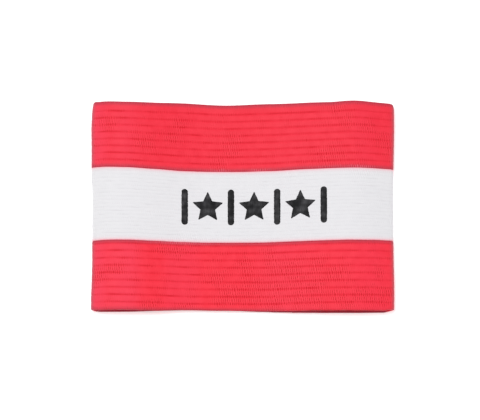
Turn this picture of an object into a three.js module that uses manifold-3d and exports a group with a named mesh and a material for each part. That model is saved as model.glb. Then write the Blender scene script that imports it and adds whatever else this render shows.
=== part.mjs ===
// A captain's armband: one loop of ribbed woven elastic in three stripes, with a row of printed marks.
//
// It lies flattened, as such a band is sold. The lower layer rests on the floor. The upper layer
// springs up beside each fold and sinks onto the lower layer in the middle. The two ends of the
// elastic overlap in a lap seam in the lower layer, with the inner end on top.
//
// Millimetres, +Z up. The folds are at -X and +X, and the arm goes in along Y. The origin is on the
// floor under the middle of the loop. "Near" is the edge at -Y and "far" the edge at +Y.

import * as THREE from "three";
import { mergeVertices } from "three/addons/utils/BufferGeometryUtils.js";
import Module from "manifold-3d";

const wasm = await Module();
wasm.setup();

// Driving sizes.
const bandWidth = 90;
const flatLength = 128;
const clothThickness = 1.5;
const foldRadius = 2; // of the cloth's middle surface
const grooveWidth = 0.9;
const grooveDepth = 0.35;
const stripeGap = 0.3; // between two stripes, so that each is a solid of its own
const ribsPerInsidePoint = 3; // the plain inside has a point at every third groove

const halfCloth = clothThickness / 2;
const tipX = flatLength / 2 - halfCloth; // the middle surface's furthest point in a fold
const foldX = tipX - foldRadius; // the centre of a fold
const nearEdge = -bandWidth / 2;

// The stripes from the near edge to the far one. firstRib and lastRib are the widths of a stripe's
// outermost ribs, and the ribs between them share what is left.
const stripes = [
  { name: "stripe_near", width: 30.5, ribs: 10, firstRib: 3.7, lastRib: 1.4, colour: 0xf43b4b },
  { name: "stripe_middle", width: 31.1, ribs: 10, firstRib: 3.11, lastRib: 3.11, colour: 0xe9e9ec },
  { name: "stripe_far", width: 28.4, ribs: 9, firstRib: 3.2, lastRib: 4.15, colour: 0xf43b4b },
];

// The upper layer: lift is the height of the middle surface, at the near and the far edge.
const humps = {
  left: { x: -52, nearLift: 7, farLift: 8 },
  right: { x: 46, nearLift: 7.6, farLift: 8.8 },
};
const trough = { leftX: -14, rightX: 2, lift: 2.6 };
const noseSteepness = 1.7; // slope where the cloth leaves a fold, over the mean slope up to the hump

// The lap seam in the lower layer.
const seam = { outerEndX: 21, innerEndX: 33, stepLength: 7, gap: 0.3 };

// How far the cloth has slipped along Y at places along X: at its two edges, and at the two joints
// between its stripes. The ends of the elastic don't lie quite square on each other in the seam.
const leftFoldSlip = { x: -tipX, near: 0.7, nearJoint: -0.25, farJoint: 0.3, far: 0.2 };
const rightFoldSlip = { x: tipX, near: 0.5, nearJoint: -0.25, farJoint: -0.55, far: -0.5 };
const upperSlip = [
  leftFoldSlip,
  { x: -50, near: 0.35, nearJoint: -0.35, farJoint: -0.2, far: -0.25 },
  { x: -37, near: 0.3, nearJoint: -0.6, farJoint: -0.7, far: -0.3 },
  { x: -25, near: 0.8, nearJoint: -0.75, farJoint: -1.15, far: -0.15 },
  { x: -7, near: 0.6, nearJoint: -0.85, farJoint: -1.3, far: -0.85 },
  { x: 10, near: 0.4, nearJoint: -0.8, farJoint: -1.1, far: -0.4 },
  { x: 29, near: 0.25, nearJoint: -0.65, farJoint: -0.75, far: -0.45 },
  { x: 47, near: 0, nearJoint: -0.55, farJoint: -0.55, far: 0 },
  rightFoldSlip,
];
const innerEndSlip = [
  leftFoldSlip,
  { x: -50, near: 0.55, nearJoint: -0.25, farJoint: -0.1, far: -0.2 },
  { x: -25, near: 1.1, nearJoint: -0.15, farJoint: -0.5, far: -0.9 },
  { x: -7, near: 1, nearJoint: -0.05, farJoint: -0.7, far: -1.1 },
  { x: 21, near: -0.1, nearJoint: -0.2, farJoint: -0.7, far: -0.9 },
];
const outerEndSlip = [
  { x: 21, near: 0.1, nearJoint: -0.15, farJoint: -0.6, far: -0.8 },
  { x: 47, near: 0, nearJoint: -0.55, farJoint: -0.8, far: -0.7 },
  rightFoldSlip,
];

// The printed marks: upright bars with a star between each two.
const print = {
  stars: 3,
  barHeight: 15.6,
  barWidth: 2.75,
  arcSteps: 6, // in a bar's round end
  starRadius: 6.9,
  starPoints: 5,
  starWaist: 0.48, // the star's inner radius over its outer one
  gap: 1.9,
  centreX: 4.9,
  centreY: 0.95,
  lift: 0.25, // clear of the ribs
  thickness: 0.4,
  colour: 0x2a2a2c,
};

const mix = (a, b, share) => a + (b - a) * share;
const ease = (share) => share * share * (3 - 2 * share);
const easeSlope = (share) => 6 * share * (1 - share);
const humpLift = (hump, y) => mix(hump.nearLift, hump.farLift, (y - nearEdge) / bandWidth);
const nearJointY = nearEdge + stripes[0].width;
const slipLines = [
  { name: "near", y: nearEdge },
  { name: "nearJoint", y: nearJointY },
  { name: "farJoint", y: nearJointY + stripes[1].width },
  { name: "far", y: nearEdge + bandWidth },
];

// The slip at x and y, from one of the tables.
function slipAt(table, x, y) {
  const inside = Math.min(Math.max(x, table[0].x), table[table.length - 1].x);
  const next = Math.max(1, table.findIndex((row) => row.x >= inside));
  const [from, to] = [table[next - 1], table[next]];
  const share = ease((inside - from.x) / (to.x - from.x));
  const stripe = Math.max(1, slipLines.findIndex((line) => line.y >= y));
  const [low, high] = [slipLines[stripe - 1], slipLines[stripe]];
  const lowSlip = mix(from[low.name], to[low.name], share);
  const highSlip = mix(from[high.name], to[high.name], share);
  return mix(lowSlip, highSlip, (y - low.y) / (high.y - low.y));
}

// The slope at which the cloth leaves a fold towards a hump, and the angle it has turned by then.
function leaving(hump, y) {
  const climb = humpLift(hump, y) - halfCloth - 2 * foldRadius;
  const slope = (noseSteepness * climb) / (foldX - Math.abs(hump.x));
  return { slope, turn: Math.PI - Math.atan(slope) };
}

// A point of the fold on that side (-1 left, 1 right), after the cloth has turned by an angle from
// the floor. heading is the cloth's way round the loop: up in the left fold, down in the right one.
function foldPoint(side, angle) {
  return {
    x: side * (foldX + foldRadius * Math.sin(angle)),
    z: halfCloth + foldRadius * (1 - Math.cos(angle)),
    heading: { x: -Math.cos(angle), z: -side * Math.sin(angle) },
  };
}

// A point between a fold and its hump, at a share of the way up from the fold.
function nosePoint(side, hump, y, share) {
  const { slope, turn } = leaving(hump, y);
  const foot = foldPoint(side, turn);
  const run = Math.abs(foot.x) - Math.abs(hump.x);
  const climb = humpLift(hump, y) - foot.z;
  const bulge = slope * run;
  const steepness = bulge * (1 - share) * (1 - 3 * share) + climb * easeSlope(share);
  return {
    x: mix(foot.x, hump.x, share),
    z: foot.z + bulge * share * (1 - share) ** 2 + climb * ease(share),
    heading: { x: 1, z: (-side * steepness) / run },
  };
}

// A point of the slope between a hump and the trough, at a share of the way down from the hump.
function slopePoint(side, hump, y, share) {
  const footX = side < 0 ? trough.leftX : trough.rightX;
  const drop = humpLift(hump, y) - trough.lift;
  return {
    x: mix(hump.x, footX, share),
    z: humpLift(hump, y) - drop * ease(share),
    heading: { x: 1, z: (side * drop * easeSlope(share)) / Math.abs(footX - hump.x) },
  };
}

const flatPoint = (fromX, toX, z, share) => ({
  x: mix(fromX, toX, share),
  z,
  heading: { x: Math.sign(toX - fromX), z: 0 },
});

// The step down from the inner end of the seam to the floor.
function stepPoint(share) {
  const drop = clothThickness + seam.gap;
  return {
    x: seam.outerEndX - seam.stepLength * share,
    z: halfCloth + drop * (1 - ease(share)),
    heading: { x: -1, z: (-drop * easeSlope(share)) / seam.stepLength },
  };
}

// The elastic's way round the loop, from its inner end to its outer end. Each stretch gives a point
// of the middle surface at a share of the stretch and at y.
const upperLayer = [
  { steps: 6, slip: upperSlip, at: (f, y) => slopePoint(-1, humps.left, y, f) },
  { steps: 2, slip: upperSlip, at: (f) => flatPoint(trough.leftX, trough.rightX, trough.lift, f) },
  { steps: 7, slip: upperSlip, at: (f, y) => slopePoint(1, humps.right, y, 1 - f) },
];
const stepEndX = seam.outerEndX - seam.stepLength;
const innerEndLift = halfCloth + clothThickness + seam.gap;
const wholeLoop = [
  { steps: 2, slip: innerEndSlip, at: (f) => flatPoint(seam.innerEndX, seam.outerEndX, innerEndLift, f) },
  { steps: 4, slip: innerEndSlip, at: stepPoint },
  { steps: 7, slip: innerEndSlip, at: (f) => flatPoint(stepEndX, -foldX, halfCloth, f) },
  { steps: 7, slip: upperSlip, at: (f, y) => foldPoint(-1, f * leaving(humps.left, y).turn) },
  { steps: 3, slip: upperSlip, at: (f, y) => nosePoint(-1, humps.left, y, f) },
  ...upperLayer,
  { steps: 4, slip: upperSlip, at: (f, y) => nosePoint(1, humps.right, y, 1 - f) },
  { steps: 7, slip: upperSlip, at: (f, y) => foldPoint(1, (1 - f) * leaving(humps.right, y).turn) },
  { steps: 4, slip: outerEndSlip, at: (f) => flatPoint(foldX, seam.outerEndX, halfCloth, f) },
];

// The places along a course of stretches where a strip laid on it has its vertices.
function stationsOf(course) {
  const stations = [{ ...course[0], share: 0 }];
  for (const stretch of course) {
    for (let step = 1; step <= stretch.steps; step++) {
      stations.push({ ...stretch, share: step / stretch.steps });
    }
  }
  return stations;
}

// Lays a flat strip along a course of stretches. The strip is an extrusion whose section has Y across
// the band and the height over its middle surface, and whose depth counts the course's stations.
function laidStrip(section, course, slips = true) {
  const stations = stationsOf(course);
  const steps = stations.length - 1;
  const geometry = new THREE.ExtrudeGeometry(section, { depth: steps, steps, bevelEnabled: false });
  const position = geometry.getAttribute("position");
  for (let i = 0; i < position.count; i++) {
    const y = position.getX(i);
    const height = position.getY(i);
    const { at, slip, share } = stations[Math.round(position.getZ(i))];
    const { x, z, heading } = at(share, y);
    const length = Math.hypot(heading.x, heading.z);
    position.setXYZ(
      i,
      x - (height * heading.z) / length,
      y + (slips ? slipAt(slip, x, y) : 0),
      z + (height * heading.x) / length,
    );
  }
  return closed(geometry);
}

// A geometry with its shared vertices merged, so that its surface is closed.
function closed(geometry) {
  geometry.deleteAttribute("normal");
  geometry.deleteAttribute("uv");
  return mergeVertices(geometry, 1e-4);
}

function solidOf(geometry) {
  return new wasm.Manifold(
    new wasm.Mesh({
      numProp: 3,
      vertProperties: geometry.getAttribute("position").array,
      triVerts: new Uint32Array(geometry.index.array),
    }),
  );
}

function geometryOf(solid) {
  const mesh = solid.getMesh();
  return new THREE.BufferGeometry()
    .setAttribute("position", new THREE.BufferAttribute(mesh.vertProperties, 3))
    .setIndex(new THREE.BufferAttribute(mesh.triVerts, 1));
}

// The Y of each groove of a stripe that starts at startY, its two edges included.
function grooveLines(stripe, startY) {
  const inner = (stripe.width - stripe.firstRib - stripe.lastRib) / (stripe.ribs - 2);
  const lines = [startY, startY + stripe.firstRib];
  for (let rib = 1; rib < stripe.ribs - 1; rib++) lines.push(lines[rib] + inner);
  lines.push(startY + stripe.width);
  return lines;
}

// The section of one stripe: flat-topped ribs with V grooves on the outside, and a plain inside.
function ribbedSection(lines, startsAtJoint, endsAtJoint) {
  const first = lines[0] + (startsAtJoint ? stripeGap / 2 : 0);
  const last = lines[lines.length - 1] - (endsAtJoint ? stripeGap / 2 : 0);
  const section = new THREE.Shape();
  section.moveTo(first, -halfCloth);
  for (let line = 2; line < lines.length - 1; line += ribsPerInsidePoint) {
    section.lineTo(lines[line], -halfCloth);
  }
  section.lineTo(last, -halfCloth);
  section.lineTo(last, halfCloth - grooveDepth);
  for (let rib = lines.length - 2; rib >= 0; rib--) {
    section.lineTo(lines[rib + 1] - grooveWidth / 2, halfCloth);
    section.lineTo(lines[rib] + grooveWidth / 2, halfCloth);
    section.lineTo(rib ? lines[rib] : first, halfCloth - grooveDepth);
  }
  return section;
}

function addMesh(group, name, geometry, colour, roughness) {
  const material = new THREE.MeshStandardMaterial({ color: colour, roughness, metalness: 0 });
  const mesh = new THREE.Mesh(geometry, material);
  mesh.name = name;
  group.add(mesh);
}

function addStripes(group) {
  let startY = nearEdge;
  stripes.forEach((stripe, i) => {
    const lines = grooveLines(stripe, startY);
    const section = ribbedSection(lines, i > 0, i < stripes.length - 1);
    addMesh(group, stripe.name, laidStrip(section, wholeLoop), stripe.colour, 0.8);
    startY += stripe.width;
  });
}

// An upright bar with round ends, centred on x.
function barShape(x) {
  const radius = print.barWidth / 2;
  const reach = print.barHeight / 2 - radius;
  const shape = new THREE.Shape();
  shape.absarc(x, print.centreY + reach, radius, 0, Math.PI, false);
  shape.absarc(x, print.centreY - reach, radius, Math.PI, 2 * Math.PI, false);
  return shape;
}

// A star centred on x, with one point up.
function starShape(x) {
  const points = [];
  for (let corner = 0; corner < 2 * print.starPoints; corner++) {
    const radius = print.starRadius * (corner % 2 ? print.starWaist : 1);
    const angle = Math.PI / 2 + (corner * Math.PI) / print.starPoints;
    points.push(new THREE.Vector2(x + radius * Math.cos(angle), print.centreY + radius * Math.sin(angle)));
  }
  return new THREE.Shape(points);
}

// The marks are cut out of a thin skin over the upper layer, and then slip along Y with the cloth.
function addPrint(group) {
  const low = halfCloth + print.lift;
  const high = low + print.thickness;
  const reach = print.barHeight;
  const skinSection = new THREE.Shape([
    new THREE.Vector2(print.centreY - reach, low),
    new THREE.Vector2(print.centreY + reach, low),
    new THREE.Vector2(print.centreY + reach, high),
    new THREE.Vector2(print.centreY - reach, high),
  ]);
  const skin = solidOf(laidStrip(skinSection, upperLayer, false));
  const starWidth = 2 * print.starRadius * Math.sin((2 * Math.PI) / print.starPoints);
  const pitch = print.barWidth + starWidth + 2 * print.gap;
  const prismSizes = { depth: 2 * humps.right.farLift, bevelEnabled: false, curveSegments: print.arcSteps };
  for (let mark = 0; mark <= 2 * print.stars; mark++) {
    const isStar = mark % 2 === 1;
    const x = print.centreX + ((mark - print.stars) * pitch) / 2;
    const prism = new THREE.ExtrudeGeometry(isStar ? starShape(x) : barShape(x), prismSizes);
    const geometry = geometryOf(skin.intersect(solidOf(closed(prism))));
    const position = geometry.getAttribute("position");
    for (let i = 0; i < position.count; i++) {
      const y = position.getY(i);
      position.setY(i, y + slipAt(upperSlip, position.getX(i), y));
    }
    const name = `print_${isStar ? "star" : "bar"}_${Math.floor(mark / 2) + 1}`;
    addMesh(group, name, geometry, print.colour, 0.6);
  }
}

const armband = new THREE.Group();
addStripes(armband);
addPrint(armband);

export default armband;
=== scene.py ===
# An armband of ribbed woven elastic in three stripes, with printed marks, lying flattened
import math

import bmesh
import bpy
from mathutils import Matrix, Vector, noise


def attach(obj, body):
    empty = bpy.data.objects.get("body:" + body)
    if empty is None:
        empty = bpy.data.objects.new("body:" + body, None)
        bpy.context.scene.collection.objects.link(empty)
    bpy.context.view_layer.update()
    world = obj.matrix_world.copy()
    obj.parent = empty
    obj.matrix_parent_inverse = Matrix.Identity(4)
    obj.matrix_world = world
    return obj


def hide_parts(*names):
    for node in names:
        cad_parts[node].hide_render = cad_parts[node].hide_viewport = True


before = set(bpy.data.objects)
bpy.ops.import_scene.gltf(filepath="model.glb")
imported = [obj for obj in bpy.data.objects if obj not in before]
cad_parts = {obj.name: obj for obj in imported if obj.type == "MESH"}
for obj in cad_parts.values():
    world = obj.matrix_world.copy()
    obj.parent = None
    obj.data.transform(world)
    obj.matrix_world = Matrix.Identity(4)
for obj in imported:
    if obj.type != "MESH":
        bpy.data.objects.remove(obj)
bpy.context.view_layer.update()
print("frame loaded")

mm = 0.001
tiny = 1e-9  # places that are no further apart than this are one place

# The cloth's way round the loop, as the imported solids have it
loop = {
    "width": 90 * mm,
    "flatLength": 128 * mm,
    "thickness": 1.5 * mm,
    "foldRadius": 2 * mm,  # of the cloth's middle
    "noseSteepness": 1.7,
    "seamOuterEnd": 21 * mm,
    "seamInnerEnd": 33 * mm,
    "seamStep": 7 * mm,
    "seamGap": 0.06 * mm,  # the sewn layers all but touch
    "measuringSteps": 40,  # in which the length of each stretch is taken
    "leastSpacing": 0.1 * mm,  # between a rib's middle and the mesh line before it
}
# Each hump's place along the band, and its height at the near and the far edge
leftHump = {"x": -52 * mm, "near": 7 * mm, "far": 8 * mm}
rightHump = {"x": 46 * mm, "near": 7.6 * mm, "far": 8.8 * mm}
trough = {"left": -14 * mm, "right": 2 * mm, "lift": 2.6 * mm}

halfCloth = loop["thickness"] / 2
tipX = loop["flatLength"] / 2 - halfCloth
foldX = tipX - loop["foldRadius"]
nearEdge = -loop["width"] / 2

# Slow unevenness: its height, its size along and across the band, and its slice of the noise
ripples = {
    "height": 0.14 * mm,
    "along": 17 * mm,
    "across": 13 * mm,
    "slice": 4.2,
    "from": 0.8 * trough["lift"],  # the lower layer lies flat
    "over": 1 * mm,
}
wobbles = {"height": 0.07 * mm, "along": 9 * mm, "across": 7 * mm, "slice": 1.7}  # of the rib lines

# Across the band, the ribs of each stripe from its near side to its far side
nearStripe = {
    "start": nearEdge,
    "width": 30.5 * mm,
    "ribs": 10,
    "firstRib": 3.7 * mm,
    "lastRib": 1.4 * mm,
}
middleStripe = {
    "start": nearEdge + 30.5 * mm,
    "width": 31.1 * mm,
    "ribs": 20,
    "firstRib": 1.5 * mm,
    "lastRib": 1.5 * mm,
}
farStripe = {
    "start": nearEdge + 61.6 * mm,
    "width": 28.4 * mm,
    "ribs": 9,
    "firstRib": 3.2 * mm,
    "lastRib": 4.15 * mm,
}
nearJoint = middleStripe["start"]
farJoint = farStripe["start"]

# The cloth's slip across, in mm: x, then near edge, first groove, near joint, far joint and far edge
upperSlip = [
    (-63.25, 0.9, 0.35, -0.25, 0.3, 0.35),
    (-60.5, 0.4, 0.2, -0.25, 0.25, 0.15),
    (-50, 0.35, -0.1, -0.35, -0.2, -0.25),
    (-37, 0.3, -0.1, -0.6, -0.7, -0.3),
    (-25, 0.8, -0.3, -0.75, -1.15, -0.15),
    (-7, 0.6, -0.3, -0.85, -1.3, -0.85),
    (10, 0.4, -0.5, -0.8, -1.1, -0.4),
    (29, 0.25, -0.3, -0.65, -0.75, -0.45),
    (37, 0.1, -0.3, -0.6, -0.65, -0.5),
    (47, 0, -0.35, -0.55, -0.55, 0),
    (59, 0.15, -0.1, -0.3, -0.55, -0.4),
    (63.25, 0.85, 0.1, -0.25, -0.55, -0.4),
]
innerEndSlip = [
    (-63.25, 0.9, 0.35, -0.25, 0.3, 0.2),
    (-60, 0.5, 0.2, -0.25, 0.2, 0.1),
    (-50, 0.55, 0.2, -0.25, -0.1, -0.2),
    (-25, 1.1, 0.7, -0.15, -0.5, -0.9),
    (-7, 1, 0.7, -0.05, -0.7, -1.1),
    (10, 0.4, 0.3, -0.1, -0.7, -1),
    (14, 0.25, 0.2, -0.15, -0.7, -0.95),
    (21, -0.1, 0, -0.2, -0.7, -0.9),
]
outerEndSlip = [
    (19, 0.1, 0, -0.15, -0.6, -0.8),
    (33, 0, -0.1, -0.45, -0.7, -0.7),
    (47, 0, -0.2, -0.55, -0.8, -0.7),
    (59, 0.1, -0.1, -0.3, -0.6, -0.55),
    (63.25, 0.85, 0.1, -0.25, -0.55, -0.5),
]
slipLines = [nearEdge, nearEdge + nearStripe["firstRib"], nearJoint, farJoint, -nearEdge]

# How far each fold leans in, in mm: y, then the left fold and the right one
foldLean = [
    (-45, 0, 0),
    (-38, 0, -0.1),
    (-33, 0.2, -0.1),
    (-24, 0.4, 0.1),
    (-15, 0.35, 0.2),
    (5, 0.35, 0.25),
    (14, -0.1, 0.1),
    (25, -0.1, -0.2),
    (34, -0.25, -0.4),
    (41, 0.05, -0.4),
    (43.5, 0.4, -0.3),
    (45, 0.75, 0.25),
]
leanReach = 8 * mm  # along the band


def mix(a, b, share):
    return a + (b - a) * share


def within(share):
    return min(max(share, 0), 1)


def ease(share):
    return share * share * (3 - 2 * share)


def easeSlope(share):
    return 6 * share * (1 - share)


# Falls from 1, and is almost gone at twice the reach
def bell(away, reach):
    return math.exp(-((away / reach) ** 2))


def humpLift(hump, y):
    return mix(hump["near"], hump["far"], (y - nearEdge) / loop["width"])


# The rows of a table in mm on both sides of a place, and how far it is from one to the other
def rowsAround(table, place):
    inside = min(max(place / mm, table[0][0]), table[-1][0])
    row = next(i for i in range(1, len(table)) if table[i][0] >= inside)
    before, after = table[row - 1], table[row]
    return before, after, (inside - before[0]) / (after[0] - before[0])


def tableAt(table, place, column):
    before, after, between = rowsAround(table, place)
    return mix(before[column], after[column], between)


def slipAt(table, x, y):
    before, after, between = rowsAround(table, x)
    share = ease(between)
    line = next((i for i in (1, 2, 3) if slipLines[i] >= y), 4)
    across = (y - slipLines[line - 1]) / (slipLines[line] - slipLines[line - 1])
    low = mix(before[line], after[line], share)
    high = mix(before[line + 1], after[line + 1], share)
    return mix(low, high, across) * mm


# How steeply the cloth leaves a fold for its hump, and how far round the fold it does so
def leaving(hump, y):
    climb = humpLift(hump, y) - halfCloth - 2 * loop["foldRadius"]
    slope = loop["noseSteepness"] * climb / (foldX - abs(hump["x"]))
    return slope, math.pi - math.atan(slope)


# Each of these gives a place on the cloth's middle, x and z, and the way the loop heads there
def foldPoint(side, angle):
    radius = loop["foldRadius"]
    x = side * (foldX + radius * math.sin(angle))
    z = halfCloth + radius * (1 - math.cos(angle))
    return x, z, -math.cos(angle), -side * math.sin(angle)


def nosePoint(side, hump, y, share):
    slope, turn = leaving(hump, y)
    footX, footZ, _, _ = foldPoint(side, turn)
    run = abs(footX) - abs(hump["x"])
    climb = humpLift(hump, y) - footZ
    bulge = slope * run
    z = footZ + bulge * share * (1 - share) ** 2 + climb * ease(share)
    steepness = bulge * (1 - share) * (1 - 3 * share) + climb * easeSlope(share)
    return mix(footX, hump["x"], share), z, 1, -side * steepness / run


def slopePoint(side, hump, y, share):
    footX = trough["left"] if side < 0 else trough["right"]
    drop = humpLift(hump, y) - trough["lift"]
    z = humpLift(hump, y) - drop * ease(share)
    return mix(hump["x"], footX, share), z, 1, side * drop * easeSlope(share) / abs(footX - hump["x"])


def flatPoint(fromX, toX, z, share):
    return mix(fromX, toX, share), z, math.copysign(1, toX - fromX), 0


def stepPoint(share):
    drop = loop["thickness"] + loop["seamGap"]
    x = loop["seamOuterEnd"] - loop["seamStep"] * share
    return x, halfCloth + drop * (1 - ease(share)), -1, -drop * easeSlope(share) / loop["seamStep"]


stepEnd = loop["seamOuterEnd"] - loop["seamStep"]
innerEndLift = halfCloth + loop["thickness"] + loop["seamGap"]

# The stretches from the inner end round to the outer end, with the spacing of their stations
# and where the cloth is when the share f of the stretch is behind it, at y across the band
course = [
    {"slip": innerEndSlip, "spacing": 0.8 * mm, "sewn": "inner",
     "at": lambda f, y: flatPoint(loop["seamInnerEnd"], loop["seamOuterEnd"], innerEndLift, f)},
    {"slip": innerEndSlip, "spacing": 0.8 * mm,
     "at": lambda f, y: stepPoint(f)},
    {"slip": innerEndSlip, "spacing": 1.3 * mm,
     "at": lambda f, y: flatPoint(stepEnd, -foldX, halfCloth, f)},
    {"slip": upperSlip, "spacing": 0.45 * mm,
     "at": lambda f, y: foldPoint(-1, f * leaving(leftHump, y)[1])},
    {"slip": upperSlip, "spacing": 0.6 * mm,
     "at": lambda f, y: nosePoint(-1, leftHump, y, f)},
    {"slip": upperSlip, "spacing": 0.85 * mm, "upper": True,
     "at": lambda f, y: slopePoint(-1, leftHump, y, f)},
    {"slip": upperSlip, "spacing": 0.85 * mm, "upper": True,
     "at": lambda f, y: flatPoint(trough["left"], trough["right"], trough["lift"], f)},
    {"slip": upperSlip, "spacing": 0.85 * mm, "upper": True,
     "at": lambda f, y: slopePoint(1, rightHump, y, 1 - f)},
    {"slip": upperSlip, "spacing": 0.6 * mm,
     "at": lambda f, y: nosePoint(1, rightHump, y, 1 - f)},
    {"slip": upperSlip, "spacing": 0.45 * mm,
     "at": lambda f, y: foldPoint(1, (1 - f) * leaving(rightHump, y)[1])},
    {"slip": outerEndSlip, "spacing": 1 * mm, "sewn": "outer",
     "at": lambda f, y: flatPoint(foldX, loop["seamOuterEnd"], halfCloth, f)},
]


# The cloth is drawn tight round the folds, so its grooves are shallower there; its outermost line is
# darker with painted shade
tightFolds = {
    "from": 57 * mm,
    "over": 5 * mm,
    "relief": 0.35,
    "rimReach": 1.1 * mm,
    "rimLow": 1.6 * mm,
    "rimFull": 3.0 * mm,
}


def layStations():
    stations, travelled = [], 0
    count = loop["measuringSteps"]
    for stretch in course:
        samples = [Vector(stretch["at"](i / count, 0)[:2]) for i in range(count + 1)]
        length = sum((b - a).length for a, b in zip(samples, samples[1:]))
        steps = math.ceil(length / stretch["spacing"])
        for step in range(1 if stations else 0, steps + 1):
            share = step / steps
            x = stretch["at"](share, 0)[0]
            tight = ease(within((abs(x) - tightFolds["from"]) / tightFolds["over"]))
            stations.append({**stretch, "share": share, "u": travelled + length * share, "tight": tight})
        travelled += length
    return stations


# A station's own place along the band, before it leans or slips
def stationX(station, y=0):
    return station["at"](station["share"], y)[0]


stations = layStations()
clothLength = stations[-1]["u"]
print("loop of", round(clothLength / mm, 1), "mm in", len(stations), "stations")


# How far the cloth leans in at a fold, dying out along the band
def leanAt(x, y):
    fold, inward = (1, 1) if x < 0 else (2, -1)
    near = within(1 - (loop["flatLength"] / 2 - abs(x)) / leanReach)
    return inward * tableAt(foldLean, y, fold) * mm * ease(near)


def unevenness(kind, along, across):
    place = Vector((along / kind["along"], across / kind["across"], kind["slice"]))
    return kind["height"] * noise.noise(place)


# A point of the cloth at a station: y across the band and height over the cloth's middle
def clothPoint(station, y, height):
    x, z, headX, headZ = station["at"](station["share"], y)
    length = math.hypot(headX, headZ)
    upper = within((z - ripples["from"]) / ripples["over"])
    return Vector((
        x - height * headZ / length + leanAt(x, y),
        y + slipAt(station["slip"], x, y) + unevenness(wobbles, station["u"], y),
        z + height * headX / length + unevenness(ripples, x, y) * upper,
    ))


def ribPitch(stripe):
    return (stripe["width"] - stripe["firstRib"] - stripe["lastRib"]) / (stripe["ribs"] - 2)


# The lines between the ribs of a stripe, its two edges included
def ribLines(stripe):
    lines = [stripe["start"], stripe["start"] + stripe["firstRib"]]
    for _ in range(stripe["ribs"] - 2):
        lines.append(lines[-1] + ribPitch(stripe))
    return lines + [stripe["start"] + stripe["width"]]


# Where the mesh of a stripe has its lines: close together beside each groove
def meshLines(stripe, weave):
    lines = ribLines(stripe)
    found = []
    for low, high in zip(lines, lines[1:]):
        offsets = [d for d in weave["offsets"] if d < (high - low) / 2 - loop["leastSpacing"]]
        found += [low + d for d in offsets]
        found.append((low + high) / 2)
        found += [high - d for d in reversed(offsets) if d > 0]
    found.append(lines[-1])
    found[0] += weave["sides"][0]["gap"]
    found[-1] -= weave["sides"][1]["gap"]
    return found


# A groove's depth varies along the band, and "apart" sets how unlike two grooves are
grooveNoise = {"along": 5 * mm, "apart": 3.7, "slice": 8.1}


# How deep the surface lies under a rib's crest at u and y, and how near that is to a groove
def ribRelief(stripe, weave, u, y):
    lines = ribLines(stripe)
    rib = max(i for i in range(len(lines) - 1) if lines[i] <= y + tiny)
    low, high = lines[rib], lines[rib + 1]
    groove = rib if y - low < high - y else rib + 1
    distance = min(y - low, high - y)
    place = Vector((u / grooveNoise["along"], groove * grooveNoise["apart"], grooveNoise["slice"]))
    uneven = 1 + weave["uneven"] * noise.noise(place)
    across = 2 * (y - low) / (high - low) - 1
    depth = weave["grooveDepth"] * uneven * bell(distance, weave["grooveReach"])
    return depth + weave["crown"] * across**2, uneven * bell(distance, weave["shadeReach"])


# The share of the cloth's thickness that is left near an edge
def roundedShare(away, edge):
    near = min(away / edge["reach"], 1)
    return edge["least"] + (1 - edge["least"]) * math.sqrt(1 - (1 - near) ** 2)


# The cloth thins towards the two sides of a stripe, and its rim has another tone there: on the red stripes
# a darker one, partly the edge's own yarn and partly painted shade, and on the white a pink one
def edgeRound(weave, stripe, station, y):
    share, rim = 1, 0
    layer = 1 if station["slip"] is upperSlip else 2
    for edge, side in zip((stripe["start"], stripe["start"] + stripe["width"]), weave["sides"]):
        away = abs(y - edge)
        share = min(share, roundedShare(away, side))
        strength = tableAt(side["rim"], stationX(station, y), layer)
        rim = max(rim, strength * math.exp(-((away / side["rimReach"]) ** side["rimPower"])))
    return share, rim


cutEnd = {"reach": 0.6 * mm, "least": 0.4}  # the cut ends thin out too
stitching = {
    "rows": [23.8 * mm, 30.2 * mm],  # along x
    "pinch": 0.26 * mm,  # how deep a row draws the cloth in
    "reach": 1.3 * mm,  # half the width of the drawn-in strip
}


# Height over the cloth's middle on its outer or inner side, with the shares of groove and rim
def clothHeight(stripe, weave, station, y, outer):
    u = station["u"]
    relief, groove = ribRelief(stripe, weave, u, y)
    relief *= mix(1, tightFolds["relief"], station["tight"])
    share, rim = edgeRound(weave, stripe, station, y)
    depth = relief if outer else relief * weave["insideRelief"]
    height = (halfCloth - depth) * share * roundedShare(min(u, clothLength - u), cutEnd)
    if station.get("sewn") == ("outer" if outer else "inner"):
        for row in stitching["rows"]:
            height -= stitching["pinch"] * bell(stationX(station, y) - row, stitching["reach"])
    return (height if outer else -height), groove, rim


def newObject(name, bm, material, smooth=True):
    mesh = bpy.data.meshes.new(name)
    bm.to_mesh(mesh)
    bm.free()
    made = bpy.data.objects.new(name, mesh)
    bpy.context.scene.collection.objects.link(made)
    made.data.materials.append(material)
    for face in mesh.polygons:
        face.use_smooth = smooth
    return made


# Recalculating can leave a folded strip inside out, and its volume is negative then
def faceOutwards(bm):
    bmesh.ops.recalc_face_normals(bm, faces=bm.faces)
    if bm.calc_volume(signed=True) < 0:
        bmesh.ops.reverse_faces(bm, faces=bm.faces)


# A flat mesh gets its outer side one unit higher
def addOuterSide(bm):
    sides = bmesh.ops.extrude_face_region(bm, geom=bm.faces[:], use_keep_orig=True)
    raised = [v for v in sides["geom"] if isinstance(v, bmesh.types.BMVert)]
    bmesh.ops.translate(bm, vec=(0, 0, 1), verts=raised)


def isOuter(vert):
    return round(vert.co.z) == 1


# The weave's own coordinates run along and across the cloth
def mapWeave(bm, placeOf):
    uv = bm.loops.layers.uv.new("weave")
    for face in bm.faces:
        for corner in face.loops:
            corner[uv].uv = placeOf(corner.vert)


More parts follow.
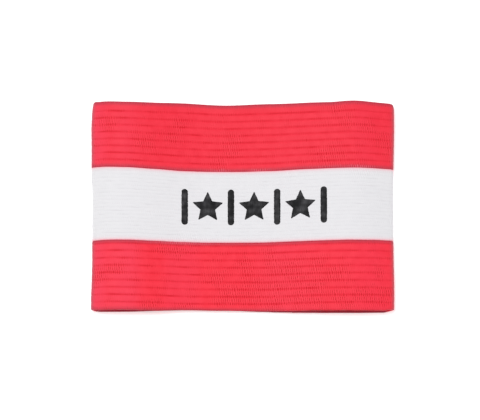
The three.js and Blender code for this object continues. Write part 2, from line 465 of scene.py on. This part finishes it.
# A stripe is a flat grid with one unit between its lines until it is laid round the loop
def makeStripe(name, stripe, weave, material):
    lines = meshLines(stripe, weave)
    columns, rows = len(lines) - 1, len(stations) - 1
    bm = bmesh.new()
    bmesh.ops.create_grid(bm, x_segments=columns, y_segments=rows, size=0.5)
    bmesh.ops.scale(bm, vec=(columns, rows, 1), verts=bm.verts)
    bmesh.ops.translate(bm, vec=(columns / 2, rows / 2, 0), verts=bm.verts)
    addOuterSide(bm)
    mapWeave(bm, lambda v: (stations[round(v.co.y)]["u"], lines[round(v.co.x)]))
    grooves = bm.verts.layers.float.new("groove")
    rims = bm.verts.layers.float.new("rim")
    turns = bm.verts.layers.float.new("turned")
    opens = bm.verts.layers.float.new("open")
    pales = bm.verts.layers.float.new("pale")
    for vert in bm.verts:
        y, station = lines[round(vert.co.x)], stations[round(vert.co.y)]
        height, vert[grooves], vert[rims] = clothHeight(stripe, weave, station, y, isOuter(vert))
        vert.co = clothPoint(station, y, height)
        x = vert.co.x - leanAt(vert.co.x, y)
        away = max(loop["flatLength"] / 2 - abs(x), 0)
        # Painted shade: a darker line round each fold, above its lower part
        risen = (vert.co.z - tightFolds["rimLow"]) / (tightFolds["rimFull"] - tightFolds["rimLow"])
        vert[turns] = weave["foldRim"] * bell(away, tightFolds["rimReach"]) * ease(within(risen))
        vert[opens] = openAt(weave["open"], x, y)
        # share of painted sheen along the band
        vert[pales] = tableAt(weave["pale"], x, 1)
    faceOutwards(bm)
    made = newObject(name, bm, material)
    print(name, "has", len(made.data.polygons), "faces")
    return made


# Where the weave is drawn open, in mm: x, y, and how far that reaches along and across
openPlaces = {
    "near": [
        (-61.5, -29.5, 3, 4), (-53, -27, 4.5, 2.2), (-28, -18.5, 9, 1.8), (-27, -14.8, 11, 1.6),
        (-39, -42.5, 4, 3.5), (-23.5, -42, 4, 2), (-11, -29.5, 5, 3.5), (-5, -37.5, 6, 6.5),
        (1.5, -25.5, 3.5, 6), (4.5, -36, 6.5, 8), (10.5, -20.5, 2, 4), (14.5, -27.5, 7, 3),
        (14, -33.5, 5, 4), (13, -41, 5, 6), (24, -31, 5, 4), (20, -25, 6, 4.5), (23, -39.5, 5, 4),
        (32.5, -22.5, 3.5, 2.2), (31, -26.5, 3, 2.5), (39, -28.5, 5, 3.5), (31.5, -34.5, 6, 5),
        (31, -41, 6, 3), (40, -38, 5, 3.5), (44.5, -43, 6, 1.6), (50.5, -38, 6, 4),
        (56.5, -40.5, 6, 2.5), (60, -37.5, 4, 3), (58, -29.5, 2, 2.5),
    ],
    "middle": [(-21, -14.5, 13, 2.6), (49, 15.5, 7, 3)],
    "far": [
        (-57.5, 35.8, 4.5, 3), (-41, 27.5, 5, 4), (-29.5, 30, 4, 3.5), (-27, 36, 2.5, 4),
        (-5, 27.5, 4.5, 6), (-10, 19.5, 3.5, 5), (7, 16.5, 4, 2), (39, 42, 4, 3.5),
        (44.5, 36, 2.5, 3.5), (52, 33.5, 4, 3), (58, 29, 3, 3), (61.5, 26, 2.5, 4),
        (37, 22, 8, 4.5), (49, 17.5, 6, 1.6),
    ],
}


def openAt(places, x, y):
    return max(math.exp(-(((x / mm - place[0]) / place[2]) ** 2) - ((y / mm - place[1]) / place[3]) ** 2)
               for place in places)


# Painted sheen: how much paler and pinker the cloth is along the band: x in mm, then the share
paintedSheenNear = [
    (-63.5, 0.9), (-60, 0.6), (-57, 0.35), (-54, 0.4), (-49, 0.5), (-46, 0.45), (-42, 0.1), (-39, 0),
    (-35, 0), (-30, 0.25), (-21, 0.25), (-16, 0), (3, 0), (7, 0.1), (14, 0.25), (30, 0.15),
    (36, 0.05), (56, 0.2), (63, 0),
]
paintedSheenMiddle = [(-64, 0.25), (-58, 0.15), (-50, 0), (58, 0), (64, 0.1)]
paintedSheenFar = [
    (-63.5, 0.7), (-60, 0.45), (-56, 0.15), (-50, 0.25), (-47, 0.2), (-42, 0.05), (-38, 0), (10, 0),
    (20, 0.05), (45, 0.05), (51, 0.15), (58, 0),
]


# Node helpers
def addNode(tree, kind, inputs=None, **settings):
    made = tree.nodes.new(kind)
    for key, value in settings.items():
        setattr(made, key, value)
    for key, value in (inputs or {}).items():
        if isinstance(value, bpy.types.NodeSocket):
            tree.links.new(value, made.inputs[key])
        else:
            made.inputs[key].default_value = value
    return made


def setInputs(node, values):
    for key, value in values.items():
        node.inputs[key].default_value = value


def attribute(tree, name):
    return addNode(tree, "ShaderNodeAttribute", attribute_name=name).outputs["Fac"]


def doMath(tree, operation, a, b=0.0, c=0.0, clamp=False):
    made = addNode(tree, "ShaderNodeMath", {0: a, 1: b, 2: c}, operation=operation, use_clamp=clamp)
    return made.outputs[0]


def times(tree, a, b, clamp=False):
    return doMath(tree, "MULTIPLY", a, b, clamp=clamp)


# A cosine that runs between 0 and 1
def halfWave(tree, turn):
    return doMath(tree, "MULTIPLY_ADD", doMath(tree, "COSINE", turn), 0.5, 0.5)


def mixColour(tree, share, a, b):
    made = addNode(tree, "ShaderNodeMix", {0: share, 6: a, 7: b}, data_type="RGBA")
    return made.outputs[2]


def linkBump(tree, shader, height, strength, depth):
    bump = addNode(tree, "ShaderNodeBump", {"Strength": strength, "Distance": depth, "Height": height})
    tree.links.new(bump.outputs[0], shader.inputs["Normal"])


def startMaterial(name):
    material = bpy.data.materials.new(name)
    material.use_nodes = True
    tree = material.node_tree
    return material, tree, tree.nodes["Principled BSDF"]


# The weave's own pattern: dark strokes where every second weft thread dives, and light ones between them
weaving = {
    "sway": 1.2,  # how far the strokes wander along the band, in their own pitches
    "middleShift": 1.5,  # of the strokes on the ribs' middles, in radians
    "openShare": 0.5,  # what a place that is drawn open adds to the patches
    "linePower": 4.0,  # narrows the shade in the grooves
    "closedTeeth": 0.1,  # what is left of a joint's teeth where the weave is closed
    "toothEdge": 0.15 * mm,
    "rimStreaks": 0.8,  # what the streaks add to a rim's strength
    "rimLeast": 0.6,
    "threadDepth": 0.08 * mm,
}
# Between which two values each part of the pattern fades in
fades = {
    "onLine": (0.3, 0.14),  # in ribs from the line between two
    "onMiddle": (0.2, 0.36),
    "dark": (-0.2, 0.95),
    "lit": (0.2, -0.95),
    "patch": (0.35, 0.9),
    "openPatch": (0.5, 0.95),
    "grain": (0.2, 0.65),
    "lineShade": (-0.3, 0.75),
    "mottle": (0.3, 0.7),
}
# How far each part stands out of the cloth, or lies deeper where it is below zero
threadRelief = {"pick": 0.4, "fibre": 0.3, "streak": 0.4, "tick": -0.9, "middleTick": -0.6}


# Each cloud's size along the band, its detail, and its size across as a multiple of that along
def cloudShapes(look):
    return {
        "patch": (look["patchSize"], 3, 0.7),
        "mottle": (look["mottleSize"], 4, 1.3),
        "streak": (look["tickPitch"] / 2, 2, 7),
        "sway": (2.6 * mm, 2, 3),
        "grain": (1.2 * mm, 1, 0.6),
        "lineShade": (3.1 * mm, 2, 0.4),
        "warp": (4 * mm, 2, 0.09),
        "fibre": (0.16 * mm, 2, 1.6),
    }


def weaveNodes(tree, look):
    uv = addNode(tree, "ShaderNodeUVMap", uv_map="weave").outputs[0]
    parts = addNode(tree, "ShaderNodeSeparateXYZ", {0: uv})
    u, v = parts.outputs[0], parts.outputs[1]
    groove, drawnOpen = attribute(tree, "groove"), attribute(tree, "open")

    def cloud(size, detail, stretch):
        scale = (1 / size, 1 / (size * stretch), 1)
        place = addNode(tree, "ShaderNodeMapping", {"Vector": uv, "Scale": scale}).outputs[0]
        made = addNode(tree, "ShaderNodeTexNoise", {"Vector": place, "Scale": 1, "Detail": detail})
        return made.outputs[0]

    def fadeIn(part, value):
        low, high = fades[part]
        made = addNode(tree, "ShaderNodeMapRange", {0: value, 1: low, 2: high},
                       interpolation_type="SMOOTHSTEP")
        return made.outputs[0]

    clouds = {part: cloud(*shape) for part, shape in cloudShapes(look).items()}

    # Strokes on the lines between ribs, and others on the ribs' middles where the weave opens
    ribs = doMath(tree, "DIVIDE", doMath(tree, "SUBTRACT", v, look["ribStart"]), look["ribPitch"])
    line, rib = doMath(tree, "ROUND", ribs), doMath(tree, "FLOOR", ribs)
    offLine = doMath(tree, "ABSOLUTE", doMath(tree, "SUBTRACT", ribs, line))
    swayed = doMath(tree, "MULTIPLY_ADD", clouds["sway"], look["tickPitch"] * weaving["sway"], u)
    turn = times(tree, swayed, 2 * math.pi / look["tickPitch"])
    middleTurn = doMath(tree, "ADD", turn, weaving["middleShift"])
    lineWave = doMath(tree, "COSINE", doMath(tree, "MULTIPLY_ADD", line, math.pi, turn))
    ribWave = doMath(tree, "COSINE", doMath(tree, "MULTIPLY_ADD", rib, math.pi, middleTurn))

    grain = fadeIn("grain", clouds["grain"])
    opened = doMath(tree, "MULTIPLY_ADD", drawnOpen, weaving["openShare"], clouds["patch"])
    patches = times(tree, times(tree, fadeIn("onLine", offLine), fadeIn("patch", opened)), grain)
    openPatches = times(tree, times(tree, fadeIn("onMiddle", offLine), fadeIn("openPatch", opened)), grain)
    litLines = times(tree, fadeIn("lit", lineWave), patches)
    litMiddles = times(tree, fadeIn("lit", ribWave), openPatches)
    lineShade = doMath(tree, "POWER", groove, weaving["linePower"])
    return {
        "v": v,
        "turn": turn,
        "ribs": ribs,
        "open": drawnOpen,
        "pick": halfWave(tree, times(tree, turn, 2.0)),  # two picks to a stroke
        "tick": times(tree, fadeIn("dark", lineWave), patches),
        "middleTick": times(tree, fadeIn("dark", ribWave), openPatches),
        "lit": doMath(tree, "ADD", litLines, litMiddles),
        "line": times(tree, lineShade, fadeIn("lineShade", clouds["lineShade"])),
        "mottle": fadeIn("mottle", clouds["mottle"]),
        "streak": clouds["streak"],
        "warp": clouds["warp"],
        "fibre": clouds["fibre"],
    }


# Threads of the next stripe's colour that show in teeth beside a joint
def jointTeeth(tree, look, weave):
    tooth = times(tree, halfWave(tree, weave["turn"]), weave["streak"])
    reach = times(tree, tooth, look["toothReach"])
    shown = 0.0
    for place in look["joints"]:
        away = doMath(tree, "ABSOLUTE", doMath(tree, "SUBTRACT", weave["v"], place))
        inside = doMath(tree, "SUBTRACT", reach, away)
        shown = doMath(tree, "MAXIMUM", shown, times(tree, inside, 1 / weaving["toothEdge"], clamp=True))
    closed = weaving["closedTeeth"]
    drawn = doMath(tree, "MULTIPLY_ADD", weave["open"], 1 - closed, closed)
    return times(tree, shown, times(tree, drawn, look["toothShare"]))


def weaveBump(tree, shader, weave, strength):
    height = 0.0
    for part, share in threadRelief.items():
        height = doMath(tree, "MULTIPLY_ADD", weave[part], share, height)
    linkBump(tree, shader, height, strength, weaving["threadDepth"])


def elasticMaterial(name, look):
    material, tree, shader = startMaterial(name)
    weave = weaveNodes(tree, look)
    tone = mixColour(tree, weave["mottle"], look["colour"], look["colourB"])
    # painted sheen along the band
    tone = mixColour(tree, attribute(tree, "pale"), tone, look["paintedSheenColour"])
    for part, colour in look["strokes"].items():
        share = times(tree, weave[part], look[part], clamp=True)
        tone = mixColour(tree, share, tone, look[colour])
    ragged = doMath(tree, "MULTIPLY_ADD", weave["streak"], weaving["rimStreaks"], weaving["rimLeast"])
    for edge, colour in (("turned", "foldShadeColour"), ("rim", "rimColour")):
        share = times(tree, attribute(tree, edge), ragged, clamp=True)
        tone = mixColour(tree, share, tone, look[colour])
    tone = mixColour(tree, jointTeeth(tree, look, weave), tone, look["otherColour"])
    tree.links.new(tone, shader.inputs["Base Color"])
    weaveBump(tree, shader, weave, look["bump"])
    setInputs(shader, {
        "Roughness": look["roughness"],
        "Specular IOR Level": look["gloss"],
        "Sheen Weight": look["sheen"],
        "Sheen Roughness": look["sheenRoughness"],
    })
    return material


red = {
    "colour": (0.952, 0.039, 0.071, 1),
    "colourB": (0.907, 0.031, 0.060, 1),
    "paintedSheenColour": (0.95, 0.065, 0.125, 1),
    "shade": (0.63, 0.001, 0.010, 1),
    "tickColour": (0.60, 0, 0.006, 1),
    "litColour": (1.0, 0.062, 0.10, 1),
    # partly the edge's own yarn, partly painted shade
    "rimColour": (0.33, 0.042, 0.068, 1),
    # painted shade along each fold
    "foldShadeColour": (0.42, 0.085, 0.115, 1),
    "otherColour": (0.98, 0.22, 0.3, 1),
    "strokes": {  # in the order in which they lie on each other
        "lit": "litColour",
        "line": "shade",
        "tick": "tickColour",
        "middleTick": "tickColour",
        "streak": "shade",
        "warp": "shade",
    },
    "tickPitch": 0.92 * mm,  # from one diving weft thread to the next
    "patchSize": 6 * mm,
    "mottleSize": 3.4 * mm,
    "line": 0.4,
    "tick": 0.82,
    "middleTick": 0.76,
    "lit": 0.84,
    "streak": 0.16,
    "warp": 0.16,
    "toothReach": 2.4 * mm,
    "toothShare": 0.45,
    "bump": 0.6,
    "roughness": 0.52,
    "gloss": 0.16,
    "sheen": 0.04,
    "sheenRoughness": 0.4,
}
# The near stripe's weave is more open
openRed = {
    **red,
    "colour": (0.983, 0.039, 0.070, 1),
    "colourB": (0.938, 0.031, 0.059, 1),
    "tick": 1.0,
    "middleTick": 1.0,
    "lit": 1.0,
}
white = {
    **red,
    "colour": (0.79, 0.783, 0.805, 1),
    "colourB": (0.775, 0.77, 0.793, 1),
    "paintedSheenColour": (0.80, 0.80, 0.80, 1),
    "shade": (0.66, 0.64, 0.67, 1),
    "tickColour": (0.66, 0.64, 0.67, 1),
    "litColour": (0.86, 0.85, 0.87, 1),
    "rimColour": (0.99, 0.27, 0.35, 1),
    "otherColour": (0.88, 0.56, 0.62, 1),
    "line": 0.28,
    "tick": 0.45,
    "middleTick": 0.35,
    "streak": 0.09,
    "warp": 0.1,
    "toothReach": 3 * mm,
    "toothShare": 0.35,
}


def stripeLook(colours, stripe, joints):
    firstLine = stripe["start"] + stripe["firstRib"]
    return {**colours, "joints": joints, "ribPitch": ribPitch(stripe), "ribStart": firstLine}


# A rim's strength stands in a table: x in mm, then the upper layer's rim and the lower one's, which is
# stronger with painted shade under the upper layer's edge
nearSelvedge = {
    "reach": 0.5 * mm,
    "least": 0.35,
    "gap": 0,
    "rimReach": 1.2 * mm,
    "rimPower": 3,
    "rim": [(-50, 0.4, 0.75), (-8, 0.55, 0.75), (10, 0.4, 0.8), (22, 0.08, 0.85)],
}
farSelvedge = {
    **nearSelvedge,
    "rimReach": 1.45 * mm,
    "rim": [(-64, 0.68, 0.68), (64, 0.68, 0.68)],
}
joint = {
    "reach": 0.3 * mm,
    "least": 0.6,
    "gap": 0.03 * mm,
    "rimReach": 1.25 * mm,
    "rimPower": 3,
    "rim": [(-64, 0.6, 0.5), (64, 0.6, 0.5)],
}
whiteJoint = {
    **joint,
    "least": 0.8,
    "rimReach": 0.5 * mm,
    "rimPower": 1,
    "rim": [(-64, 0.95, 0.7), (64, 0.95, 0.7)],
}
wideRibs = {
    "offsets": [0, 0.12 * mm, 0.26 * mm, 0.46 * mm, 0.85 * mm],
    "grooveDepth": 0.15 * mm,
    "grooveReach": 0.36 * mm,
    "shadeReach": 0.6 * mm,
    "crown": 0.04 * mm,
    "uneven": 0.32,
    "foldRim": 0.75,
    "insideRelief": 0.8,
}
fineRibs = {
    "offsets": [0, 0.14 * mm, 0.34 * mm],
    "grooveDepth": 0.05 * mm,
    "grooveReach": 0.2 * mm,
    "shadeReach": 0.28 * mm,
    "crown": 0.015 * mm,
    "uneven": 0.6,
    "foldRim": 0,
    "insideRelief": 0.8,
}
nearWeave = {
    **wideRibs,
    "sides": (nearSelvedge, joint),
    "open": openPlaces["near"],
    "pale": paintedSheenNear,
}
middleWeave = {
    **fineRibs,
    "sides": (whiteJoint, whiteJoint),
    "open": openPlaces["middle"],
    "pale": paintedSheenMiddle,
}
farWeave = {
    **wideRibs,
    "sides": (joint, farSelvedge),
    "open": openPlaces["far"],
    "pale": paintedSheenFar,
}

redNear = elasticMaterial("redElasticNear", stripeLook(openRed, nearStripe, [nearJoint]))
whiteMiddle = elasticMaterial("whiteElastic", stripeLook(white, middleStripe, [nearJoint, farJoint]))
redFar = elasticMaterial("redElasticFar", stripeLook(red, farStripe, [farJoint]))

bandPieces = [
    makeStripe("red_stripe_near", nearStripe, nearWeave, redNear),
    makeStripe("white_stripe", middleStripe, middleWeave, whiteMiddle),
    makeStripe("red_stripe_far", farStripe, farWeave, redFar),
]
for piece, node, slot in zip(bandPieces, ("stripe_near", "stripe_middle", "stripe_far"),
                             ("red_elastic", "white_elastic", "red_elastic")):
    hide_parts(node)

# The printed marks
ink = {
    "clear": 0.01 * mm,  # over the cloth
    "thickness": 0.1 * mm,
    "thinEdge": 0.04 * mm,
    "stars": 3,
    "barHeight": 15.6 * mm,
    "barWidth": 2.75 * mm,
    "barSegments": 28,  # round both ends together
    "starRadius": 6.9 * mm,
    "starTips": 5,
    "starWaist": 0.48,
    "tipCut": 0.5 * mm,  # how far a tip is cut back to round it
    "tipSegments": 4,
    "gap": 1.9 * mm,
    "centre": (4.9 * mm, 0.95 * mm),
    "roughEdge": 0.11 * mm,
    "roughSize": 0.4 * mm,
    "roughSeed": 5,
    "patchSize": 2.2 * mm,
    "fullTone": (0.001, 0.001, 0.002, 1),
    # painted highlight on the raised threads
    "highlightTone": (0.068, 0.067, 0.073, 1),
    "rimTone": (0.003, 0.003, 0.004, 1),
    "rimShare": 0.7,
    "highlight": 1.5,
    "lineHighlight": 0.25,  # every second line of the cloth gets less painted highlight, by twice this share
    "bump": 0.8,
    "roughness": 0.6,
    "gloss": 0.2,
}
noise.seed_set(ink["roughSeed"])  # without it, noise vectors start from the clock


def inkMaterial():
    material, tree, shader = startMaterial("blackInk")
    weave = weaveNodes(tree, {**stripeLook(white, middleStripe, []), "patchSize": ink["patchSize"]})
    # Painted highlight on the raised threads under the ink, less on every second line
    raised = times(tree, doMath(tree, "SUBTRACT", 1.0, weave["tick"]), weave["streak"])
    highlit = times(tree, times(tree, raised, weave["mottle"]), ink["highlight"], clamp=True)
    secondLines = doMath(tree, "COSINE", times(tree, weave["ribs"], math.pi))
    lineShare = doMath(tree, "MULTIPLY_ADD", secondLines, ink["lineHighlight"], 1 - ink["lineHighlight"])
    tone = mixColour(tree, times(tree, highlit, lineShare), ink["fullTone"], ink["highlightTone"])
    rim = times(tree, attribute(tree, "rim"), ink["rimShare"])
    tone = mixColour(tree, rim, tone, ink["rimTone"])
    tree.links.new(tone, shader.inputs["Base Color"])
    weaveBump(tree, shader, weave, ink["bump"])
    setInputs(shader, {"Roughness": ink["roughness"], "Specular IOR Level": ink["gloss"]})
    return material


inkBlack = inkMaterial()
upperStations = [s for s in stations if s.get("upper")]
upperXs = [stationX(s) for s in upperStations]
lineYs = meshLines(middleStripe, middleWeave)


# The station of the upper layer over x
def upperStation(x):
    before = max((s for s in upperStations if stationX(s) <= x + tiny), key=lambda s: s["u"])
    after = min((s for s in upperStations if stationX(s) >= x - tiny), key=lambda s: s["u"])
    lowX, highX = stationX(before), stationX(after)
    between = 0 if highX - lowX < tiny else (x - lowX) / (highX - lowX)
    share = mix(before["share"] if before["at"] is after["at"] else 0, after["share"], between)
    return {**after, "share": share, "u": mix(before["u"], after["u"], between)}


# A mark starts as a flat disc, whose rim is moved into a bar or a star
def barOutline(bm):
    bmesh.ops.create_circle(bm, cap_ends=True, segments=ink["barSegments"], radius=ink["barWidth"] / 2)
    reach = (ink["barHeight"] - ink["barWidth"]) / 2
    for side in (1, -1):
        half = [v for v in bm.verts if v.co.y * side > 0.001 * mm]
        bmesh.ops.translate(bm, vec=(0, side * reach, 0), verts=half)


def starOutline(bm):
    bmesh.ops.create_circle(bm, cap_ends=True, segments=2 * ink["starTips"], radius=ink["starRadius"])
    tips = []
    for vert in bm.verts:
        angle = math.atan2(vert.co.y, vert.co.x) - math.pi / 2
        if round(angle / (math.pi / ink["starTips"])) % 2:
            vert.co *= ink["starWaist"]
        else:
            tips.append(vert)
    bmesh.ops.bevel(bm, geom=tips, offset=ink["tipCut"], segments=ink["tipSegments"], profile=0.5,
                    affect="VERTICES", material=-1)


# Cut where the cloth under it has its mesh lines
def cutAlong(bm, axis, places):
    low, high = [limit(v.co[axis] for v in bm.verts) for limit in (min, max)]
    across = Vector((axis == 0, axis == 1, 0))
    for place in places:
        if low < place < high:
            geometry = bm.verts[:] + bm.edges[:] + bm.faces[:]
            bmesh.ops.bisect_plane(bm, geom=geometry, plane_co=across * place, plane_no=across, dist=1e-7)


def makeMark(name, outline, centreX):
    bm = bmesh.new()
    outline(bm)
    bmesh.ops.translate(bm, vec=(centreX, ink["centre"][1], 0), verts=bm.verts)
    bmesh.ops.triangulate(bm, faces=bm.faces)
    cutAlong(bm, 0, upperXs)
    cutAlong(bm, 1, lineYs)
    rims = bm.verts.layers.float.new("rim")
    for vert in bm.verts:
        if vert.is_boundary:
            vert[rims] = 1
            ragged = noise.noise_vector(vert.co / ink["roughSize"])
            vert.co += Vector((ragged.x, ragged.y, 0)) * ink["roughEdge"]
    addOuterSide(bm)
    bm.verts.index_update()
    placed = [upperStation(v.co.x) for v in bm.verts]
    mapWeave(bm, lambda v: (placed[v.index]["u"], v.co.y))
    grooves = bm.verts.layers.float.new("groove")
    for vert, station in zip(bm.verts, placed):
        height, vert[grooves], _ = clothHeight(middleStripe, middleWeave, station, vert.co.y, True)
        if isOuter(vert):
            height += mix(ink["thickness"], ink["thinEdge"], vert[rims])
        vert.co = clothPoint(station, vert.co.y, height + ink["clear"])
    faceOutwards(bm)
    return newObject(name, bm, inkBlack)


starWidth = 2 * ink["starRadius"] * math.sin(2 * math.pi / ink["starTips"])
markPitch = (ink["barWidth"] + starWidth) / 2 + ink["gap"]
marks = []
for place in range(2 * ink["stars"] + 1):
    kind, outline = (("star", starOutline), ("bar", barOutline))[place % 2 == 0]
    number = place // 2 + 1
    mark = makeMark(f"ink_{kind}_{number}", outline, ink["centre"][0] + (place - ink["stars"]) * markPitch)
    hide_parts(f"print_{kind}_{number}")
    marks.append(mark)
print("printed marks made")

# The seam: two zigzag rows, seen from under the band and from inside the loop
thread = {
    "radius": 0.15 * mm,
    "sides": 6,
    "zigzag": 2.2 * mm,  # width of a row
    "step": 1.1 * mm,
    "margin": 1.2 * mm,  # from the row's ends to the band's edges
    "raised": 0.08 * mm,  # in the middle of a stitch
    "sunk": 0.12 * mm,  # at its ends
    "rise": 2.4,  # how fast it comes up between the two
    "points": (0, 0.3, 0.5, 0.7),  # of its path, as shares of a step
    "shadedTone": (0.80, 0.020, 0.045, 1),
    "litTone": (0.93, 0.045, 0.085, 1),
    "twist": 1600,
    "twistWaver": 1.5,
    "bump": 0.4,
    "twistDepth": 0.03 * mm,
    "roughness": 0.45,
}
wovenStripes = ((nearStripe, nearWeave), (middleStripe, middleWeave), (farStripe, farWeave))


def stripeAt(y):
    return next(found for found in wovenStripes if y <= found[0]["start"] + found[0]["width"])


# A point of the thread over the sewn cloth, whose cut ends are left out here
def threadPoint(stretch, x, y, lift):
    outer = stretch["sewn"] == "outer"
    fromX, toX = [stretch["at"](share, y)[0] for share in (0, 1)]
    share = (x - fromX) / (toX - fromX)
    station = {**stretch, "share": share, "u": clothLength / 2, "tight": 0}
    height = clothHeight(*stripeAt(y), station, y, outer)[0]
    return clothPoint(station, y, height + (lift if outer else -lift))


def threadPath(stretch, row):
    path, side = [], 1
    y = nearEdge + thread["margin"]
    while y < -nearEdge - thread["margin"]:
        for share in thread["points"]:
            x = row + side * thread["zigzag"] / 2 * (1 - 2 * share)
            lift = mix(-thread["sunk"], thread["raised"], min(1, thread["rise"] * min(share, 1 - share)))
            path.append(threadPoint(stretch, x, y + share * thread["step"], lift))
        side = -side
        y += thread["step"]
    return path


def makeThread(bm, path):
    ring = bmesh.ops.create_circle(bm, segments=thread["sides"], radius=thread["radius"])["verts"]
    shape = [v.co.copy() for v in ring]
    edges = list(dict.fromkeys(e for v in ring for e in v.link_edges))
    first = ring
    for place, point in enumerate(path):
        ahead = path[min(place + 1, len(path) - 1)] - path[max(place - 1, 0)]
        turned = ahead.to_track_quat("Z", "Y")
        if place:
            grown = bmesh.ops.extrude_edge_only(bm, edges=edges)["geom"]
            ring = [v for v in grown if isinstance(v, bmesh.types.BMVert)]
            edges = [e for e in grown if isinstance(e, bmesh.types.BMEdge)]
        for vert, corner in zip(ring, shape):
            vert.co = point + turned @ corner
    bmesh.ops.contextual_create(bm, geom=first)
    bmesh.ops.contextual_create(bm, geom=ring)


def threadMaterial():
    material, tree, shader = startMaterial("redThread")
    place = addNode(tree, "ShaderNodeTexCoord").outputs["Object"]
    settings = {"Vector": place, "Scale": thread["twist"], "Distortion": thread["twistWaver"]}
    twist = addNode(tree, "ShaderNodeTexWave", settings).outputs[1]
    tone = mixColour(tree, twist, thread["shadedTone"], thread["litTone"])
    tree.links.new(tone, shader.inputs["Base Color"])
    linkBump(tree, shader, twist, thread["bump"], thread["twistDepth"])
    setInputs(shader, {"Roughness": thread["roughness"]})
    return material


redThread = threadMaterial()
seams = []
for stretch in course:
    if "sewn" in stretch:
        bm = bmesh.new()
        for row in stitching["rows"]:
            makeThread(bm, threadPath(stretch, row))
        faceOutwards(bm)
        seams.append(newObject(f"seam_stitches_{stretch['sewn']}", bm, redThread))
print("seam sewn")

# The floor and the light
studio = {
    "white": (1, 1, 1, 1),
    "floorSize": 6,
    "floorColour": (0.95, 0.95, 0.95, 1),
    "floorRoughness": 0.85,
    "floorGloss": 0.2,
    "floorGlow": 0.4,  # a light table keeps the shadow under the edge pale
    "ambient": 0.42,
    "boxes": {  # place and size in metres, power in watts
        "keyBox": ((-0.32, 0.24, 1.5), 0.7, 12.5),
        "leftBox": ((-1.2, 0.1, 1.1), 0.8, 3),
        "rightBox": ((1.3, -0.2, 0.9), 0.8, 4.5),
    },
}


def makeFloor():
    bm = bmesh.new()
    bmesh.ops.create_grid(bm, x_segments=1, y_segments=1, size=studio["floorSize"] / 2)
    material, _, shader = startMaterial("paleFloor")
    setInputs(shader, {
        "Base Color": studio["floorColour"],
        "Roughness": studio["floorRoughness"],
        "Specular IOR Level": studio["floorGloss"],
        "Emission Color": studio["white"],
        "Emission Strength": studio["floorGlow"],
    })
    newObject("floor", bm, material, smooth=False)


def addSoftbox(name, place, size, power):
    light = bpy.data.lights.new(name, "AREA")
    light.shape = "DISK"
    light.size = size
    light.energy = power
    made = bpy.data.objects.new(name, light)
    made.location = place
    made.rotation_euler = (-Vector(place)).to_track_quat("-Z", "Y").to_euler()
    bpy.context.scene.collection.objects.link(made)


makeFloor()
for name, (place, size, power) in studio["boxes"].items():
    addSoftbox(name, place, size, power)
world = bpy.data.worlds.new("paleStudio")
world.use_nodes = True
setInputs(world.node_tree.nodes["Background"], {"Color": studio["white"], "Strength": studio["ambient"]})
bpy.context.scene.world = world
bpy.context.scene.view_settings.view_transform = "Standard"
print("studio lit")

# The camera stands far off over the near side, so the band's edges stay parallel as in the photo
view = {
    "elevation": 79,  # degrees over the floor
    "distance": 2.4,
    "sensor": 36,  # mm, as a camera's lens is too
    "picture": (480, 420),
    "pixel": 0.4238 * mm,  # on the band
    "bandMiddle": (242.6, 208.75),  # the loop's middle on the floor, in the picture's pixels
}


def addCamera():
    rise = math.radians(view["elevation"])
    width, height = view["picture"]
    aside = (width / 2 - view["bandMiddle"][0]) * view["pixel"]
    ahead = (view["bandMiddle"][1] - height / 2) * view["pixel"] / math.sin(rise)
    target = Vector((aside, ahead, 0))
    back = Vector((0, -math.cos(rise), math.sin(rise)))
    camera = bpy.data.cameras.new("camera")
    camera.sensor_width = view["sensor"]
    camera.lens = view["sensor"] * view["distance"] / (width * view["pixel"])
    made = bpy.data.objects.new("camera", camera)
    made.location = target + back * view["distance"]
    made.rotation_euler = (-back).to_track_quat("-Z", "Y").to_euler()
    bpy.context.scene.collection.objects.link(made)
    bpy.context.scene.camera = made


addCamera()

for piece in bandPieces + marks + seams:
    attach(piece, "root")
print("pieces ride on the band")
